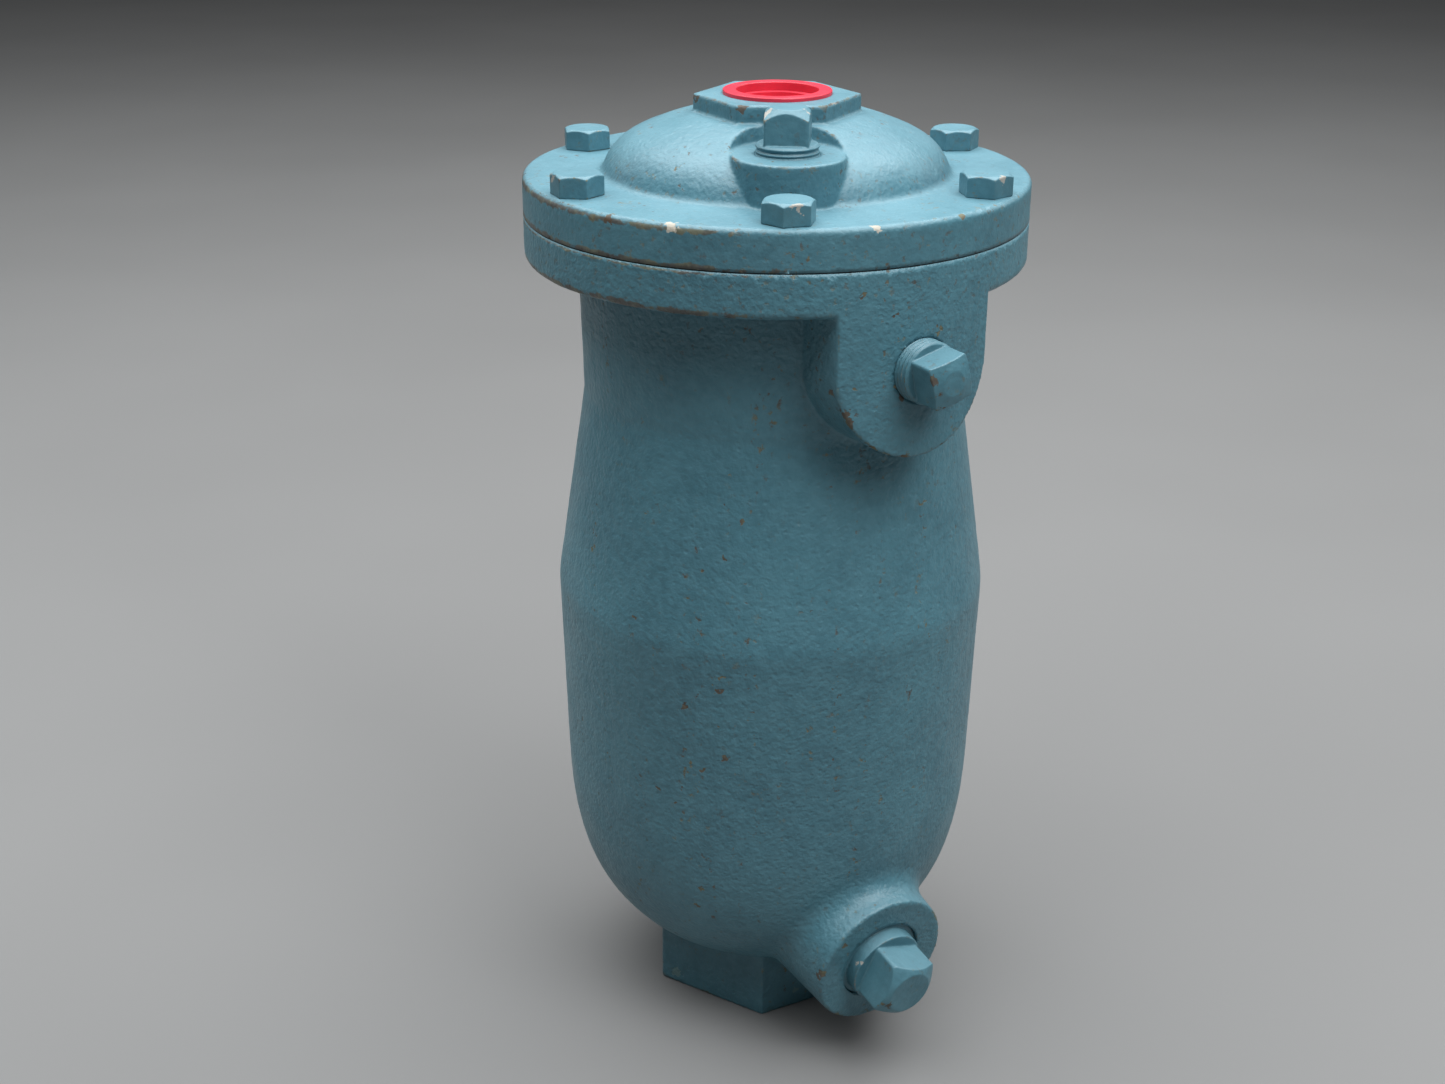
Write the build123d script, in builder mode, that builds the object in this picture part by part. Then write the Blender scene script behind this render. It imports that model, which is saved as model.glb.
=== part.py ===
"""Float-operated air release valve for sewage lines, cast iron, threaded 2 in inlet and 1 in outlet.

Units are millimetres. The origin is the centre of the inlet boss's bottom face, +Z is up along
the body's axis, and the front cover bolt lies on -Y.
"""

import os
from math import atan2, cos, degrees, radians, sin, tan

from build123d import *

# Body casting
SEAM_Z = 311.0
FLANGE_RADIUS = 88.9
BODY_FLANGE_BOTTOM = 295.6
GASKET_THICKNESS = 0.5
BODY_TOP = SEAM_Z - GASKET_THICKNESS / 2
COVER_BOTTOM = SEAM_Z + GASKET_THICKNESS / 2
NECK_RADIUS_TOP = 70.3
NECK_RADIUS_LOW = 68.9
NECK_LOW_Z = 246.5
BELLY_RADIUS = 80.0
BELLY_EDGE_Z = 173.5
BELLY_LOW_RADIUS = 78.2
BELLY_LOW_Z = 104.0
BOWL_FLOOR_Z = 17.0
WALL = 8.0

# Inlet, 2 in pipe thread in a hexagonal boss
INLET_HEX_RADIUS = 47.1
INLET_HEX_TOP = 34.0
INLET_HEX_AZIMUTH = -3.6
INLET_BORE_RADIUS = 28.5

# Side ports, both midway between two cover bolts
PORT_AZIMUTH = 30.0
LUG_HALF_WIDTH = 30.0
LUG_CENTRE_Z = 276.0
DRAIN_FACE_DISTANCE = 80.5
DRAIN_FACE_Z = 41.5
DRAIN_TILT = 9.9
DRAIN_BOSS_RADIUS = 27.2

# Cover casting
COVER_FLANGE_TOP = 325.0
DOME_BASE_RADIUS = 61.3
BOLT_CIRCLE_RADIUS = 78.3
BOLT_COUNT = 6
OUTLET_HEX_ACROSS_FLATS = 50.8
OUTLET_TOP_Z = 351.5
OUTLET_BORE_RADIUS = 15.2
OUTLET_BORE_FLOOR = 331.5
COVER_PORT_RADIUS = 44.5
COVER_PORT_AZIMUTH = 1.6
COVER_PORT_PAD_PLACE = (1.6, -46.6)
COVER_PORT_PAD_RADIUS = 18.9
COVER_PORT_TOP_Z = 339.5
INNER_PAD_RADIUS = 33.0
INNER_PAD_Z = 320.0

# Cover bolts, 7/16 in
BOLT_RADIUS = 5.55
BOLT_HOLE_RADIUS = 6.2
BOLT_TAPPED_RADIUS = 5.6
BOLT_HEAD_ACROSS_FLATS = 15.9
BOLT_HEAD_HEIGHT = 7.3
BOLT_LENGTH = 26.0
BOLT_HOLE_DEPTH = 13.0
BOLT_HEAD_CORNERS = (-13.9, 9.3, -27.3, 12.0, 6.8, 23.0)

# Outlet thread protector
PROTECTOR_RIM_RADIUS = 19.0
PROTECTOR_MOUTH_RADIUS = 14.3
PROTECTOR_LEDGE_DEPTH = 3.0
PROTECTOR_CUP_DEPTH = 13.0

# Orifice seat and lever bracket
SEAT_SHANK_RADIUS = 7.9
SEAT_ACROSS_FLATS = 19.0
ORIFICE_RADIUS = 3.2
BRACKET_TOP_Z = INNER_PAD_Z
BRACKET_THICKNESS = 3.0
BRACKET_SCREW_Y = 22.5
BRACKET_SCREW_RADIUS = 2.4
WASHER_THICKNESS = 1.2

# Square-headed pipe plugs
HALF_INCH_RADIUS = 10.75
HALF_INCH_PITCH = 1.814
HALF_INCH_HEAD = 14.8
HALF_INCH_HEAD_HEIGHT = 11.5
COVER_PLUG_CROWN = (6.1, 40.0)
FLUSH_PLUG_CROWN = (4.2, 18.0)
INCH_RADIUS = 16.7
INCH_HEAD = 20.2
INCH_HEAD_HEIGHT = 14.5
DRAIN_PLUG_CROWN = (8.6, 35.0)
DRAIN_PLUG_NECK_RADIUS = 14.6
DRAIN_PLUG_NECK_LENGTH = 4.4
DRAIN_PLUG_SINK = 1.2
PIPE_TAPER = 1.79
PLUG_CLEARANCE = 0.05

# Linkage, in the vertical plane through the X axis, drawn with the float hanging at its lowest
SEAT_NOSE_Z = 312.5
PRIMARY_PIVOT = (-22.0, 303.0)
SECONDARY_PIVOT = (38.72, 300.32)
PRIMARY_DROP = 6.39
SECONDARY_DROP = 23.8
LINK_ARM = 13.0
FLOAT_ARM = (-43.0, -16.3)
PIVOT_PIN_RADIUS = 2.5
LINK_PIN_RADIUS = 2.0
CHEEK_INNER = 11.5
CHEEK_THICKNESS = 2.5
SLOT_CLEARANCE = 0.2
PIN_CLEARANCE = 0.08
CHEEK_OUTER = CHEEK_INNER + CHEEK_THICKNESS
PIVOT_PIN_LENGTH = 2 * CHEEK_OUTER + 3.2
HUB_LENGTH = 2 * CHEEK_INNER - 0.6
PRIMARY_THICKNESS = 8.0
PLATE_INNER = 5.5
PLATE_THICKNESS = 2.5
PLATE_OUTER = PLATE_INNER + PLATE_THICKNESS
STUD_RADIUS = 3.0
STUD_LENGTH = 13.0

# Float
FLOAT_RADIUS = 42.0
FLOAT_LENGTH = 104.0
FLOAT_WALL = 1.2
FLOAT_BOTTOM_Z = 70.0
STEM_RADIUS = 3.2


def radial(azimuth):
    """Horizontal unit vector at an azimuth counted from -Y towards +X."""
    return Vector(sin(radians(azimuth)), -cos(radians(azimuth)), 0)


def outward_plane(centre, direction):
    """Plane whose normal is the direction and whose x axis is horizontal."""
    level = Vector(-direction.Y, direction.X, 0)
    return Plane(origin=centre, x_dir=level.normalized(), z_dir=direction)


def linkage_plane(pivot, angle):
    """Plane at a pivot, turned down by the angle, whose local y is up and whose normal is -Y."""
    turn = radians(angle)
    return Plane(
        origin=(pivot[0], 0, pivot[1]),
        x_dir=(cos(turn), 0, -sin(turn)),
        z_dir=(0, -1, 0),
    )


LUG_DIRECTION = radial(PORT_AZIMUTH)
LUG_PLANE = outward_plane(
    LUG_DIRECTION * FLANGE_RADIUS + Vector(0, 0, LUG_CENTRE_Z), LUG_DIRECTION
)
DRAIN_DIRECTION = (
    LUG_DIRECTION * cos(radians(DRAIN_TILT)) - Vector(0, 0, sin(radians(DRAIN_TILT)))
)
DRAIN_PLANE = outward_plane(
    LUG_DIRECTION * DRAIN_FACE_DISTANCE + Vector(0, 0, DRAIN_FACE_Z), DRAIN_DIRECTION
)
COVER_PORT_PLANE = Plane(
    origin=radial(COVER_PORT_AZIMUTH) * COVER_PORT_RADIUS + Vector(0, 0, COVER_PORT_TOP_Z)
)


def polar_xy(radius, azimuth):
    """Plan position at an azimuth counted from -Y towards +X."""
    place = radial(azimuth) * radius
    return (place.X, place.Y)


def plug_bore(face, radius, depth):
    """Cuts the tapered bore that a pipe plug fills, wider at the face."""
    with BuildSketch(face.offset(0.5)) as mouth:
        Circle(radius + PLUG_CLEARANCE)
    extrude(mouth.sketch, amount=-depth - 0.5, taper=PIPE_TAPER, mode=Mode.SUBTRACT)


def disc(plane, radius, amount, taper=0.0):
    """Adds a round disc or cone standing on a plane."""
    with BuildSketch(plane) as outline:
        Circle(radius)
    extrude(outline.sketch, amount=amount, taper=taper)


def square_head(plane, width, height, crown, turn):
    """Adds a square head whose outer end is turned to a cone, by an angle, around a round crown."""
    crown_radius, chamfer = crown
    rise = (0.75 * width - crown_radius) * tan(radians(chamfer))
    with BuildSketch(plane) as square:
        RectangleRounded(width, width, width * 0.06, rotation=turn)
    with BuildSketch(plane.offset(height)) as end:
        Circle(crown_radius)
    with BuildSketch(plane.offset(height - rise)) as shank:
        Circle(0.75 * width)
    prism = extrude(square.sketch, amount=height, mode=Mode.PRIVATE)
    cone = extrude(end.sketch, amount=-rise, taper=chamfer - 90, mode=Mode.PRIVATE)
    rod = extrude(shank.sketch, amount=rise - height, mode=Mode.PRIVATE)
    add(prism & (cone + rod))


def half_inch_plug(face, turns, inner_length, crown, head_turn):
    """Adds a tapered pipe plug that stands out of a face by some thread turns and a square head."""
    depth = 0.5 * HALF_INCH_PITCH
    lean = degrees(atan2(depth, HALF_INCH_PITCH / 2))
    collar = turns * HALF_INCH_PITCH
    disc(face, HALF_INCH_RADIUS, -inner_length, PIPE_TAPER)
    disc(face, HALF_INCH_RADIUS - depth, collar)
    for turn in range(turns):
        root = face.offset(turn * HALF_INCH_PITCH)
        disc(root, HALF_INCH_RADIUS - depth, HALF_INCH_PITCH / 2, -lean)
        disc(root.offset(HALF_INCH_PITCH / 2), HALF_INCH_RADIUS, HALF_INCH_PITCH / 2, lean)
    square_head(face.offset(collar), HALF_INCH_HEAD, HALF_INCH_HEAD_HEIGHT, crown, head_turn)


def hexagon_head(plane, across_flats, height, turn):
    """Adds a hexagon head whose outer corners are chamfered."""
    with BuildSketch(plane) as hexagon:
        RegularPolygon(across_flats / 2, 6, major_radius=False, rotation=turn)
    with BuildSketch(plane.offset(height)) as crown:
        Circle(across_flats * 0.47)
    prism = extrude(hexagon.sketch, amount=height, mode=Mode.PRIVATE)
    cone = extrude(crown.sketch, amount=-height, taper=-60, mode=Mode.PRIVATE)
    add(prism & cone)


def ring_groove(plane, radius):
    """Cuts the clip groove around a pin, centred on a plane across it."""
    with BuildSketch(plane.offset(-0.45)) as band:
        Circle(radius + 1)
        Circle(radius - 0.6, mode=Mode.SUBTRACT)
    extrude(band.sketch, amount=0.9, mode=Mode.SUBTRACT)


def retaining_clip(plane, opening):
    """Adds an E-shaped clip lying on a plane, open on one side."""
    with BuildSketch(plane.offset(-0.4)) as clip:
        Circle(4.6)
        Circle(PIVOT_PIN_RADIUS - 0.57, mode=Mode.SUBTRACT)
        with PolarLocations(4, 1, start_angle=opening):
            Rectangle(7, 3.2, mode=Mode.SUBTRACT)
    extrude(clip.sketch, amount=0.8)


def button_plane(height):
    """Plane square to the button's axis, a height above the primary lever's centre line."""
    foot = PRIMARY_PLANE.from_local_coords(Vector(BUTTON_X, height, 0))
    return Plane(origin=foot, x_dir=PRIMARY_PLANE.x_dir, z_dir=PRIMARY_PLANE.y_dir)


# ---------------------------------------------------------------- body casting
with BuildPart() as body_casting:
    with BuildSketch(Plane.XZ):
        with BuildLine():
            neck_side = Polyline(
                (0, BODY_TOP),
                (FLANGE_RADIUS, BODY_TOP),
                (FLANGE_RADIUS, BODY_FLANGE_BOTTOM),
                (NECK_RADIUS_TOP, BODY_FLANGE_BOTTOM),
                (NECK_RADIUS_LOW, NECK_LOW_Z),
                (BELLY_RADIUS, BELLY_EDGE_Z),
                (BELLY_LOW_RADIUS, BELLY_LOW_Z),
            )
            bowl_side = Spline(
                neck_side @ 1,
                (75.7, 74.3),
                (67.6, 49.9),
                (52.2, 31.4),
                (34.0, 22.0),
                tangents=((-0.02, -1), (-1, -0.36)),
            )
            Polyline(bowl_side @ 1, (30, BOWL_FLOOR_Z), (0, BOWL_FLOOR_Z), (0, BODY_TOP))
        make_face()
    revolve(axis=Axis.Z)
    for height, size in (
        (BODY_FLANGE_BOTTOM, 2.5),
        (NECK_LOW_Z, 6),
        (BELLY_EDGE_Z, 30),
    ):
        ring = edges().filter_by(GeomType.CIRCLE)
        fillet(ring.filter_by_position(Axis.Z, height - 0.1, height + 0.1), radius=size)

    with BuildSketch(LUG_PLANE.offset(-30)):
        Circle(LUG_HALF_WIDTH)
        with Locations((0, 12)):
            Rectangle(2 * LUG_HALF_WIDTH, 24)
    extrude(amount=37)
    with BuildSketch(Plane.XY.offset(LUG_CENTRE_Z - LUG_HALF_WIDTH - 5)):
        Circle(FLANGE_RADIUS + 30)
        Circle(FLANGE_RADIUS, mode=Mode.SUBTRACT)
    extrude(amount=80, mode=Mode.SUBTRACT)

    with BuildSketch(DRAIN_PLANE):
        Circle(DRAIN_BOSS_RADIUS)
    extrude(amount=-44, taper=-4)

    with BuildSketch(Plane.XY):
        RegularPolygon(INLET_HEX_RADIUS, 6, rotation=INLET_HEX_AZIMUTH - 90)
    extrude(amount=INLET_HEX_TOP)

    boss_root = edges().filter_by_position(Axis.Z, 15, 100).filter_by(GeomType.BSPLINE)
    fillet([edge for edge in boss_root if edge.center().Y < -60], radius=8)

    # cavity, from the cover seam down to the inlet bore
    with BuildSketch(Plane.XZ):
        with BuildLine():
            inner_side = Polyline(
                (0, BODY_TOP),
                (NECK_RADIUS_TOP - WALL - 1.5, BODY_TOP),
                (NECK_RADIUS_LOW - WALL, NECK_LOW_Z - 3),
                (BELLY_RADIUS - WALL, BELLY_EDGE_Z - 3),
                (BELLY_LOW_RADIUS - WALL, BELLY_LOW_Z),
            )
            inner_bowl = Spline(
                inner_side @ 1,
                (67.9, 76.6),
                (60.7, 55.2),
                (47.2, 39.0),
                (INLET_BORE_RADIUS, 30.6),
                tangents=((-0.02, -1), (-1, -0.3)),
            )
            Polyline(
                inner_bowl @ 1,
                (INLET_BORE_RADIUS, -1),
                (0, -1),
                (0, BODY_TOP),
            )
        make_face()
    revolve(axis=Axis.Z, mode=Mode.SUBTRACT)

    plug_bore(LUG_PLANE, HALF_INCH_RADIUS, 32)
    plug_bore(DRAIN_PLANE, INCH_RADIUS, 34)
    with BuildSketch(Plane.XY.offset(BODY_TOP)):
        with PolarLocations(BOLT_CIRCLE_RADIUS, BOLT_COUNT, start_angle=-90):
            Circle(BOLT_TAPPED_RADIUS)
    extrude(amount=-BOLT_HOLE_DEPTH, mode=Mode.SUBTRACT)


# ---------------------------------------------------------------- cover and its fasteners
with BuildPart() as cover_casting:
    with BuildSketch(Plane.XZ):
        with BuildLine():
            flange_side = Polyline(
                (0, COVER_BOTTOM),
                (FLANGE_RADIUS, COVER_BOTTOM),
                (FLANGE_RADIUS, COVER_FLANGE_TOP),
                (DOME_BASE_RADIUS, COVER_FLANGE_TOP),
            )
            dome_side = Spline(
                flange_side @ 1,
                (54.6, 335.4),
                (43.6, 341.0),
                (30.0, 345.2),
                tangents=((-0.3, 1), (-1, 0.24)),
            )
            Polyline(dome_side @ 1, (0, 345.2), (0, COVER_BOTTOM))
        make_face()
    revolve(axis=Axis.Z)
    ring = edges().filter_by(GeomType.CIRCLE).filter_by_position(Axis.Z, 324.9, 325.1)
    fillet(ring.sort_by(SortBy.RADIUS)[-1], radius=2.2)
    ring = edges().filter_by(GeomType.CIRCLE).filter_by_position(Axis.Z, 324.9, 325.1)
    fillet(ring.sort_by(SortBy.RADIUS)[0], radius=3)

    with BuildSketch(Plane.XY.offset(338)):
        RegularPolygon(OUTLET_HEX_ACROSS_FLATS / 2, 6, major_radius=False, rotation=0)
    extrude(amount=OUTLET_TOP_Z - 338)
    fillet(faces().sort_by(Axis.Z)[-1].edges(), radius=1.0)

    with BuildSketch(Plane.XY.offset(COVER_PORT_TOP_Z)):
        with Locations(COVER_PORT_PAD_PLACE):
            Circle(COVER_PORT_PAD_RADIUS)
    extrude(amount=-(COVER_PORT_TOP_Z - COVER_FLANGE_TOP + 3))
    with BuildSketch(COVER_PORT_PLANE):
        Circle(COVER_PORT_PAD_RADIUS)
    extrude(amount=6, taper=-8, mode=Mode.SUBTRACT)

    # underside: hollow dome around a flat pad that carries the seat and the bracket
    with BuildSketch(Plane.XZ):
        with BuildLine():
            hollow_side = Polyline((0, COVER_BOTTOM - 1), (54, COVER_BOTTOM - 1), (54, 320))
            hollow_dome = Spline(
                hollow_side @ 1,
                (47.5, 328.5),
                (40, 332.0),
                tangents=((-0.2, 1), (-1, 0.3)),
            )
            Polyline(
                hollow_dome @ 1,
                (INNER_PAD_RADIUS + 1, 333),
                (INNER_PAD_RADIUS, INNER_PAD_Z),
                (0, INNER_PAD_Z),
                (0, COVER_BOTTOM - 1),
            )
        make_face()
    revolve(axis=Axis.Z, mode=Mode.SUBTRACT)

    with BuildSketch(Plane.XY.offset(OUTLET_BORE_FLOOR)):
        Circle(OUTLET_BORE_RADIUS)
    extrude(amount=30, mode=Mode.SUBTRACT)
    with BuildSketch(Plane.XY.offset(INNER_PAD_Z)):
        Circle(SEAT_SHANK_RADIUS + PLUG_CLEARANCE)
        with Locations((0, BRACKET_SCREW_Y), (0, -BRACKET_SCREW_Y)):
            Circle(BRACKET_SCREW_RADIUS + PLUG_CLEARANCE)
    extrude(amount=10, mode=Mode.SUBTRACT)
    with BuildSketch(Plane.XY.offset(INNER_PAD_Z)):
        Circle(SEAT_SHANK_RADIUS + PLUG_CLEARANCE)
    extrude(amount=12, mode=Mode.SUBTRACT)
    plug_bore(COVER_PORT_PLANE, HALF_INCH_RADIUS, 20)
    with BuildSketch(Plane.XY.offset(COVER_BOTTOM)):
        with PolarLocations(BOLT_CIRCLE_RADIUS, BOLT_COUNT, start_angle=-90):
            Circle(BOLT_HOLE_RADIUS)
    extrude(amount=30, mode=Mode.SUBTRACT)

with BuildPart() as cover_gasket:
    with BuildSketch(Plane.XY.offset(BODY_TOP)):
        Circle(FLANGE_RADIUS - 0.4)
        Circle(NECK_RADIUS_TOP - WALL - 1.0, mode=Mode.SUBTRACT)
        with PolarLocations(BOLT_CIRCLE_RADIUS, BOLT_COUNT, start_angle=-90):
            Circle(BOLT_HOLE_RADIUS, mode=Mode.SUBTRACT)
    extrude(amount=GASKET_THICKNESS)

with BuildPart() as cover_bolts:
    for index, corner in enumerate(BOLT_HEAD_CORNERS):
        x, y = polar_xy(BOLT_CIRCLE_RADIUS, 360 / BOLT_COUNT * index)
        top = Plane(origin=(x, y, COVER_FLANGE_TOP))
        disc(top, BOLT_RADIUS, 1 - BOLT_LENGTH)
        disc(top.offset(1 - BOLT_LENGTH), BOLT_RADIUS, -1, 40)
        hexagon_head(top, BOLT_HEAD_ACROSS_FLATS, BOLT_HEAD_HEIGHT, corner + 30)

# ---------------------------------------------------------------- plugs and thread protector
with BuildPart() as cover_port_plug:
    half_inch_plug(COVER_PORT_PLANE, 2, 14, COVER_PLUG_CROWN, -7.5)

with BuildPart() as flush_port_plug:
    half_inch_plug(LUG_PLANE, 3, 14, FLUSH_PLUG_CROWN, 14.0)

with BuildPart() as drain_plug:
    disc(DRAIN_PLANE.offset(-DRAIN_PLUG_SINK), INCH_RADIUS - 0.04, DRAIN_PLUG_SINK - 18, PIPE_TAPER)
    disc(DRAIN_PLANE.offset(-DRAIN_PLUG_SINK), DRAIN_PLUG_NECK_RADIUS, DRAIN_PLUG_SINK + DRAIN_PLUG_NECK_LENGTH)
    neck_end = DRAIN_PLANE.offset(DRAIN_PLUG_NECK_LENGTH)
    square_head(neck_end, INCH_HEAD, INCH_HEAD_HEIGHT, DRAIN_PLUG_CROWN, -18.0)

with BuildPart() as outlet_thread_protector:
    with BuildSketch(Plane.XZ):
        with BuildLine():
            rim = OUTLET_TOP_Z + 1.4
            ledge = rim - PROTECTOR_LEDGE_DEPTH
            foot = OUTLET_TOP_Z - PROTECTOR_CUP_DEPTH
            Polyline(
                (0, foot),
                (OUTLET_BORE_RADIUS - 0.3, foot),
                (OUTLET_BORE_RADIUS - 0.1, OUTLET_TOP_Z),
                (PROTECTOR_RIM_RADIUS, OUTLET_TOP_Z),
                (PROTECTOR_RIM_RADIUS, rim),
                (PROTECTOR_MOUTH_RADIUS, rim),
                (PROTECTOR_MOUTH_RADIUS - 0.1, ledge),
                (PROTECTOR_MOUTH_RADIUS - 1.0, ledge - 0.4),
                (PROTECTOR_MOUTH_RADIUS - 1.2, foot + 1.2),
                (0, foot + 1.2),
                close=True,
            )
        make_face()
    revolve(axis=Axis.Z)
    fillet(edges().filter_by_position(Axis.Z, OUTLET_TOP_Z + 1.3, OUTLET_TOP_Z + 1.5), 0.4)

# ---------------------------------------------------------------- seat and bracket
with BuildPart() as orifice_seat:
    seat_plane = Plane.XY.offset(INNER_PAD_Z)
    disc(seat_plane, SEAT_SHANK_RADIUS, 11)
    with BuildSketch(seat_plane):
        RegularPolygon(SEAT_ACROSS_FLATS / 2, 6, major_radius=False)
    extrude(amount=-4)
    disc(seat_plane.offset(-4), 7, SEAT_NOSE_Z - INNER_PAD_Z + 4, 30)
    with BuildSketch(Plane.XY.offset(SEAT_NOSE_Z)):
        Circle(ORIFICE_RADIUS)
    extrude(amount=20, mode=Mode.SUBTRACT)

with BuildPart() as lever_bracket:
    with BuildSketch(Plane.XY.offset(BRACKET_TOP_Z)):
        Circle(31)
        with Locations((8, 0)):
            Rectangle(76, 2 * CHEEK_OUTER)
        Circle(12.5, mode=Mode.SUBTRACT)
        with Locations((0, BRACKET_SCREW_Y), (0, -BRACKET_SCREW_Y)):
            Circle(BRACKET_SCREW_RADIUS + 0.3, mode=Mode.SUBTRACT)
    extrude(amount=-BRACKET_THICKNESS)
    for side in (1, -1):
        with BuildSketch(Plane.XZ.offset(side * (CHEEK_INNER + CHEEK_THICKNESS / 2))):
            with Locations(PRIMARY_PIVOT, SECONDARY_PIVOT):
                Circle(6.5)
            with Locations((8, BRACKET_TOP_Z - 4)):
                Rectangle(70, 2)
            make_hull()
            with Locations(PRIMARY_PIVOT, SECONDARY_PIVOT):
                Circle(PIVOT_PIN_RADIUS + 0.01, mode=Mode.SUBTRACT)
        extrude(amount=CHEEK_THICKNESS / 2, both=True)

with BuildPart() as bracket_lock_washers:
    with BuildSketch(Plane.XY.offset(BRACKET_TOP_Z - BRACKET_THICKNESS)):
        with Locations((0, BRACKET_SCREW_Y), (0, -BRACKET_SCREW_Y)):
            Circle(4.6)
            Circle(BRACKET_SCREW_RADIUS + 0.1, mode=Mode.SUBTRACT)
            with Locations((4, 0)):
                Rectangle(4, 0.8, rotation=20, mode=Mode.SUBTRACT)
    extrude(amount=-WASHER_THICKNESS)

with BuildPart() as bracket_screws:
    for side in (1, -1):
        under_head = Plane(
            origin=(0, side * BRACKET_SCREW_Y, BRACKET_TOP_Z - BRACKET_THICKNESS - WASHER_THICKNESS),
            z_dir=(0, 0, -1),
        )
        disc(under_head, BRACKET_SCREW_RADIUS, -12)
        hexagon_head(under_head, 8, 3.6, 10 * side)

with BuildPart() as pivot_pins:
    for pivot in (PRIMARY_PIVOT, SECONDARY_PIVOT):
        disc(linkage_plane(pivot, 0).offset(-PIVOT_PIN_LENGTH / 2), PIVOT_PIN_RADIUS, PIVOT_PIN_LENGTH)
        for side in (1, -1):
            groove = linkage_plane(pivot, 0).offset(side * (CHEEK_OUTER + 0.6))
            ring_groove(groove, PIVOT_PIN_RADIUS)

with BuildPart() as pivot_pin_clips:
    for pivot in (PRIMARY_PIVOT, SECONDARY_PIVOT):
        for side in (1, -1):
            retaining_clip(linkage_plane(pivot, 0).offset(side * (CHEEK_OUTER + 0.6)), 60)

# ---------------------------------------------------------------- primary lever and valve button
PRIMARY_PLANE = linkage_plane(PRIMARY_PIVOT, PRIMARY_DROP)
BUTTON_X = -PRIMARY_PIVOT[0]
SLOT_X = SECONDARY_PIVOT[0] - LINK_ARM * cos(radians(SECONDARY_DROP / 2)) - PRIMARY_PIVOT[0]

with BuildPart() as primary_lever:
    with BuildSketch(PRIMARY_PLANE.offset(-PRIMARY_THICKNESS / 2)):
        with Locations((SLOT_X / 2, 0)):
            Rectangle(SLOT_X, 8)
        with Locations((0, 0), (SLOT_X, 0)):
            Circle(5.2)
        with Locations((-4, 4)):
            Rectangle(5, 12)
        with Locations((SLOT_X, 0)):
            SlotCenterToCenter(
                1.2, 2 * (LINK_PIN_RADIUS + SLOT_CLEARANCE), mode=Mode.SUBTRACT
            )
    extrude(amount=PRIMARY_THICKNESS)
    disc(PRIMARY_PLANE.offset(-HUB_LENGTH / 2), 5.2, HUB_LENGTH)
    with BuildSketch(PRIMARY_PLANE.offset(-15)):
        Circle(PIVOT_PIN_RADIUS + PIN_CLEARANCE)
    extrude(amount=30, mode=Mode.SUBTRACT)
    with BuildSketch(button_plane(-10)):
        Circle(STUD_RADIUS + 0.03)
    extrude(amount=20, mode=Mode.SUBTRACT)

with BuildPart() as valve_button_holder:
    disc(button_plane(4), 7.6, 3.5)
    disc(button_plane(4), STUD_RADIUS, -STUD_LENGTH)
    with BuildSketch(button_plane(6)):
        Circle(6.05)
    extrude(amount=3, mode=Mode.SUBTRACT)

with BuildPart() as valve_button_disc:
    disc(button_plane(6), 6.0, SEAT_NOSE_Z - PRIMARY_PIVOT[1] - 6.1)

with BuildPart() as button_lock_nut:
    with BuildSketch(button_plane(-4)):
        RegularPolygon(5, 6, major_radius=False, rotation=0)
        Circle(STUD_RADIUS + 0.02, mode=Mode.SUBTRACT)
    extrude(amount=-4)

# ---------------------------------------------------------------- float lever
def swung(point):
    """Place of a float-lever point at the lowest float, from its place at the highest."""
    turn = radians(SECONDARY_DROP)
    return (
        point[0] * cos(turn) - point[1] * sin(turn),
        point[0] * sin(turn) + point[1] * cos(turn),
    )


FLOAT_LEVER_PLANE = linkage_plane(SECONDARY_PIVOT, 0)
half_swing = radians(SECONDARY_DROP / 2)
LINK_PIN_PLACE = swung((-LINK_ARM * cos(half_swing), LINK_ARM * sin(half_swing)))
FLOAT_PIN_PLACE = swung(FLOAT_ARM)

def moved_plane(place):
    """The float lever's plane with its origin moved to a place on it."""
    return FLOAT_LEVER_PLANE.shift_origin(FLOAT_LEVER_PLANE.from_local_coords(Vector(*place, 0)))


with BuildPart() as float_lever:
    for side in (1, -1):
        with BuildSketch(FLOAT_LEVER_PLANE.offset(side * (PLATE_INNER + PLATE_THICKNESS / 2))):
            with Locations((0, 0)):
                Circle(5.6)
            with Locations(FLOAT_PIN_PLACE):
                Circle(5.6)
            with Locations(LINK_PIN_PLACE):
                Circle(4)
            make_hull()
            with Locations((0, 0)):
                Circle(PIVOT_PIN_RADIUS + PIN_CLEARANCE, mode=Mode.SUBTRACT)
            with Locations(FLOAT_PIN_PLACE):
                Circle(PIVOT_PIN_RADIUS + 0.01, mode=Mode.SUBTRACT)
            with Locations(LINK_PIN_PLACE):
                Circle(LINK_PIN_RADIUS + 0.01, mode=Mode.SUBTRACT)
        extrude(amount=PLATE_THICKNESS / 2, both=True)
    with BuildSketch(FLOAT_LEVER_PLANE):
        Circle(5.2)
        Circle(PIVOT_PIN_RADIUS + PIN_CLEARANCE, mode=Mode.SUBTRACT)
    extrude(amount=HUB_LENGTH / 2, both=True)

with BuildPart() as link_pin:
    link_plane = moved_plane(LINK_PIN_PLACE)
    disc(link_plane.offset(-9.5), LINK_PIN_RADIUS, 19)

with BuildPart() as float_pin:
    float_plane = moved_plane(FLOAT_PIN_PLACE)
    disc(float_plane.offset(-11), PIVOT_PIN_RADIUS, 22)
    for side in (1, -1):
        ring_groove(float_plane.offset(side * (PLATE_OUTER + 0.6)), PIVOT_PIN_RADIUS)

with BuildPart() as float_pin_clips:
    for side in (1, -1):
        retaining_clip(float_plane.offset(side * (PLATE_OUTER + 0.6)), -40)

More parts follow.
